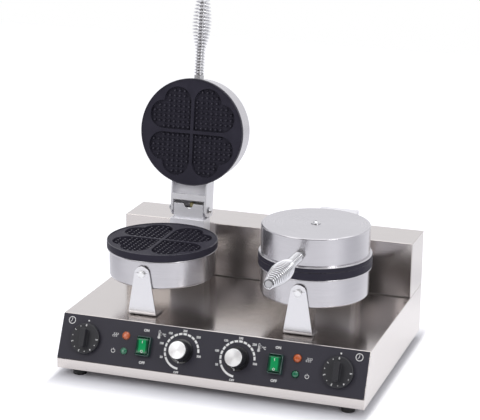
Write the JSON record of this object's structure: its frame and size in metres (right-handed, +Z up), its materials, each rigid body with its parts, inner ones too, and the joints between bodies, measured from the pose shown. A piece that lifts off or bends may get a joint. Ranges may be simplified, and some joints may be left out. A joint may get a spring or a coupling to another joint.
{
  "type": "double waffle maker",
  "caption": "Countertop waffle maker with round heart-pattern irons side by side, hinged lids with coiled handles, and a sloped panel of timers, thermostats and switches.",
  "frame": {"origin": "on the table, under the centre of the whole machine's bounding box", "axes": "+X to the right as the user faces the panel, +Y to the back, +Z up"},
  "size_m": [0.55, 0.5252, 0.6371],
  "materials": {
    "brushed_steel": "satin brushed stainless sheet",
    "bright_metal": "bright plated steel",
    "nonstick_casting": "cast aluminium with a satin black non-stick coating",
    "panel_face": "matt charcoal overlay",
    "black_plastic": "satin black moulding",
    "rubber": "matt black rubber",
    "green_lens": "translucent green plastic",
    "orange_lens": "translucent orange plastic",
    "ceramic": "off-white steatite",
    "glass_fibre": "braided glass-fibre sleeving, yellowish"
  },
  "bodies": {
    "frame": {"base_housing": "brushed_steel", "bottom_plate": "brushed_steel", "control_panel": "panel_face", "riser_housing": "brushed_steel", "rear_cover": "brushed_steel", "cover_screws": "bright_metal", "feet": "rubber", "foot_screws": "bright_metal", "cable_gland": "black_plastic", "terminal_block": "ceramic", "left_timer_body": "black_plastic", "right_timer_body": "black_plastic", "left_thermostat_body": "bright_metal", "right_thermostat_body": "bright_metal", "left_switch_body": "black_plastic", "right_switch_body": "black_plastic", "heat_lamps": "orange_lens", "power_lamps": "green_lens", "left_support_strap": "brushed_steel", "right_support_strap": "brushed_steel", "support_bolts": "bright_metal", "drum_bolts": "bright_metal", "left_hinge_bracket": "brushed_steel", "right_hinge_bracket": "brushed_steel", "left_clevis": "brushed_steel", "right_clevis": "brushed_steel", "left_hinge_pin": "bright_metal", "right_hinge_pin": "bright_metal", "left_lead_sleeve": "glass_fibre", "right_lead_sleeve": "glass_fibre", "left_lower_drum": "brushed_steel", "right_lower_drum": "brushed_steel", "left_lower_plate": "nonstick_casting", "right_lower_plate": "nonstick_casting", "left_lower_heater": "bright_metal", "right_lower_heater": "bright_metal"},
    "left_lid": {"left_lid_drum": "brushed_steel", "left_upper_plate": "nonstick_casting", "left_upper_heater": "bright_metal", "left_lid_arm": "brushed_steel", "left_lid_screw": "bright_metal", "left_handle_rod": "bright_metal", "left_handle_coil": "bright_metal"},
    "right_lid": {"right_lid_drum": "brushed_steel", "right_upper_plate": "nonstick_casting", "right_upper_heater": "bright_metal", "right_lid_arm": "brushed_steel", "right_lid_screw": "bright_metal", "right_handle_rod": "bright_metal", "right_handle_coil": "bright_metal"},
    "left_timer": {"left_timer_knob": "black_plastic"},
    "right_timer": {"right_timer_knob": "black_plastic"},
    "left_thermostat": {"left_thermostat_knob": "black_plastic", "left_knob_cap": "bright_metal"},
    "right_thermostat": {"right_thermostat_knob": "black_plastic", "right_knob_cap": "bright_metal"},
    "left_switch": {"left_rocker": "green_lens"},
    "right_switch": {"right_rocker": "green_lens"}
  },
  "joints": [
    {"name": "left_lid_hinge", "type": "hinge", "parent": "frame", "child": "left_lid", "pos_m": [-0.1405, 0.1473, 0.233], "axis": [-1, 0, 0], "range_deg": [-97.3, 0]},
    {"name": "right_lid_hinge", "type": "hinge", "parent": "frame", "child": "right_lid", "pos_m": [0.1405, 0.1473, 0.233], "axis": [-1, 0, 0], "range_deg": [0, 97.3]},
    {"name": "left_timer_turn", "type": "hinge", "parent": "frame", "child": "left_timer", "pos_m": [-0.226, -0.13889, 0.06738], "axis": [0, 0.9003, -0.4352], "range_deg": [0, 270]},
    {"name": "left_thermostat_turn", "type": "hinge", "parent": "frame", "child": "left_thermostat", "pos_m": [-0.05, -0.13889, 0.06738], "axis": [0, 0.9003, -0.4352], "range_deg": [0, 268]},
    {"name": "left_switch_rock", "type": "hinge", "parent": "frame", "child": "left_switch", "pos_m": [-0.118, -0.1434, 0.06956], "axis": [-1, 0, 0], "range_deg": [0, 14]},
    {"name": "right_timer_turn", "type": "hinge", "parent": "frame", "child": "right_timer", "pos_m": [0.226, -0.13889, 0.06738], "axis": [0, 0.9003, -0.4352], "range_deg": [0, 270]},
    {"name": "right_thermostat_turn", "type": "hinge", "parent": "frame", "child": "right_thermostat", "pos_m": [0.05, -0.13889, 0.06738], "axis": [0, 0.9003, -0.4352], "range_deg": [0, 268]},
    {"name": "right_switch_rock", "type": "hinge", "parent": "frame", "child": "right_switch", "pos_m": [0.118, -0.1434, 0.06956], "axis": [-1, 0, 0], "range_deg": [0, 14]}
  ]
}
